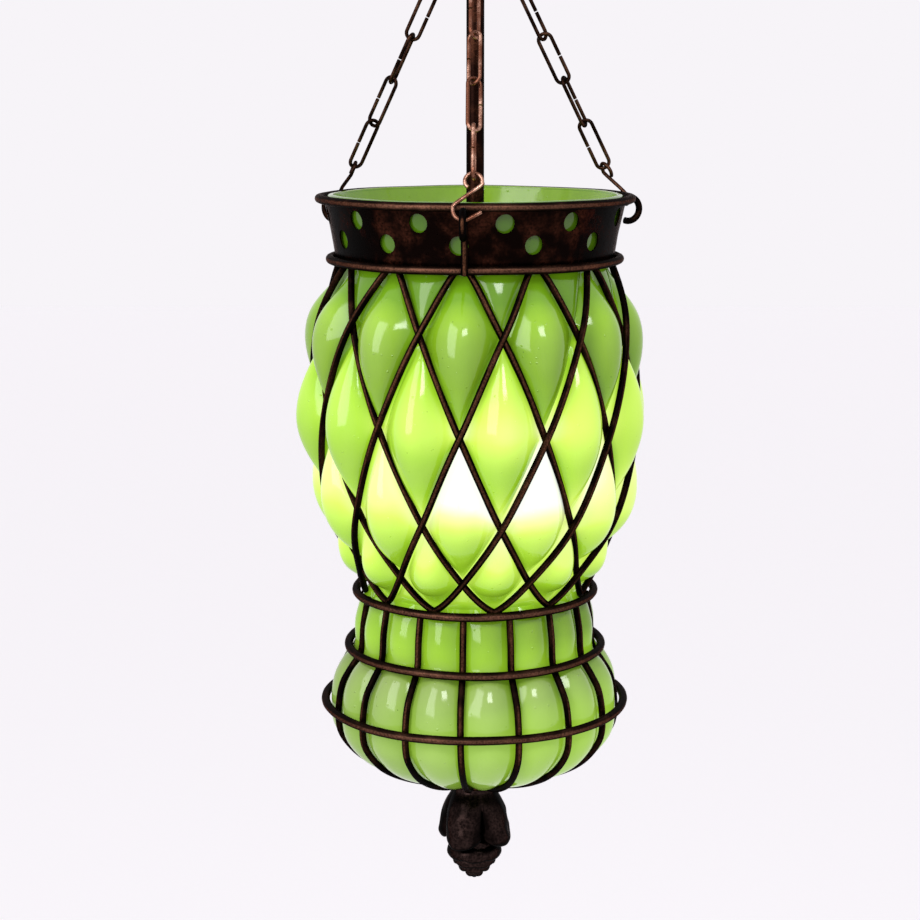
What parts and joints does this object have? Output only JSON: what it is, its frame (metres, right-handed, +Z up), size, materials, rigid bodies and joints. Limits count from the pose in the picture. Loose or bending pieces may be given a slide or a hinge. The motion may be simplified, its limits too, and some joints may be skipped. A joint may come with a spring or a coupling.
{
  "type": "glass pendant lamp",
  "caption": "Pendant lamp: green glass blown into a wire cage, pierced collar, cast finial, three chains from a crown on a stem with a hanging loop, bulb inside.",
  "frame": {"origin": "inside top of the hanging loop's eye, where a ceiling hook carries the lamp", "axes": "+Z up along the stem; -Y is the front, with the front chain 4 degrees off it; +X to the right seen from the front"},
  "size_m": [0.2059, 0.2118, 0.6266],
  "materials": {
    "dark_bronze": "dark bronze patina over round iron bar and sheet, rubbed copper-brown on the edges",
    "aged_copper": "aged copper wire, brown in the hollows",
    "cast_bronze": "nearly black casting",
    "green_glass": "cased opal green glass, fire polished",
    "brass": "plain turned brass",
    "phenolic": "moulded black",
    "opal_glass": "lit opal bulb"
  },
  "bodies": {
    "stem": {"hanging_loop": "dark_bronze", "stem_tube": "dark_bronze", "lock_nut": "brass", "seat_nut": "brass", "holder_cap": "dark_bronze", "holder_body": "phenolic", "screw_shell": "brass", "centre_contact": "brass"},
    "bulb": {"bulb_base": "brass", "bulb_glass": "opal_glass"},
    "crown": {"chain_crown": "dark_bronze"},
    "chain_front": {"chain_front_link_1": "aged_copper", "chain_front_link_2": "aged_copper", "chain_front_link_3": "aged_copper", "chain_front_link_4": "aged_copper", "chain_front_link_5": "aged_copper", "s_hook_front": "aged_copper"},
    "chain_right": {"chain_right_link_1": "aged_copper", "chain_right_link_2": "aged_copper", "chain_right_link_3": "aged_copper", "chain_right_link_4": "aged_copper", "chain_right_link_5": "aged_copper", "s_hook_right": "aged_copper"},
    "chain_left": {"chain_left_link_1": "aged_copper", "chain_left_link_2": "aged_copper", "chain_left_link_3": "aged_copper", "chain_left_link_4": "aged_copper", "chain_left_link_5": "aged_copper", "s_hook_left": "aged_copper"},
    "shade": {"glass_shade": "green_glass", "rim_ring": "dark_bronze", "collar_ring": "dark_bronze", "collar_band": "dark_bronze", "cage_lattice": "dark_bronze", "neck_ring": "dark_bronze", "shoulder_ring": "dark_bronze", "belly_ring": "dark_bronze", "post_front": "dark_bronze", "post_right": "dark_bronze", "post_left": "dark_bronze", "cage_bar_01": "dark_bronze", "cage_bar_02": "dark_bronze", "cage_bar_03": "dark_bronze", "cage_bar_04": "dark_bronze", "cage_bar_05": "dark_bronze", "cage_bar_06": "dark_bronze", "cage_bar_07": "dark_bronze", "cage_bar_08": "dark_bronze", "cage_bar_09": "dark_bronze", "cage_bar_10": "dark_bronze", "cage_bar_11": "dark_bronze", "cage_bar_12": "dark_bronze", "cage_bar_13": "dark_bronze", "cage_bar_14": "dark_bronze", "cage_bar_15": "dark_bronze", "cage_bar_16": "dark_bronze", "finial_plate": "dark_bronze", "finial_leaves": "cast_bronze", "finial_cone": "cast_bronze"}
  },
  "joints": [
    {"name": "crown_turn", "type": "hinge", "parent": "stem", "child": "crown", "pos_m": [0, 0, -0.045], "axis": [0, 0, 1], "continuous": true},
    {"name": "shade_sway", "type": "hinge", "parent": "crown", "child": "shade", "pos_m": [0, 0, -0.03281], "axis": [0, 1, 0], "range_deg": [-6.5, 6.5]},
    {"name": "chain_front_swing", "type": "hinge", "parent": "crown", "child": "chain_front", "pos_m": [-0.00029, -0.0165, -0.0627], "axis": [0, 1, 0], "range_deg": [-7.81, 7.81]},
    {"name": "chain_right_swing", "type": "hinge", "parent": "crown", "child": "chain_right", "pos_m": [0.01489, 0.0071, -0.0627], "axis": [0, 1, 0], "range_deg": [-7.81, 7.81]},
    {"name": "chain_left_swing", "type": "hinge", "parent": "crown", "child": "chain_left", "pos_m": [-0.01388, 0.00891, -0.0627], "axis": [0, 1, 0], "range_deg": [-7.81, 7.81]},
    {"name": "bulb_turn", "type": "hinge", "parent": "stem", "child": "bulb", "pos_m": [0, 0, -0.317], "axis": [0, 0, 1], "range_deg": [-1080, 0]}
  ],
  "couplings": [
    {"joint": "chain_front_swing", "follows": "shade_sway", "ratio": 1.2017},
    {"joint": "chain_right_swing", "follows": "shade_sway", "ratio": 1.2017},
    {"joint": "chain_left_swing", "follows": "shade_sway", "ratio": 1.2017}
  ]
}
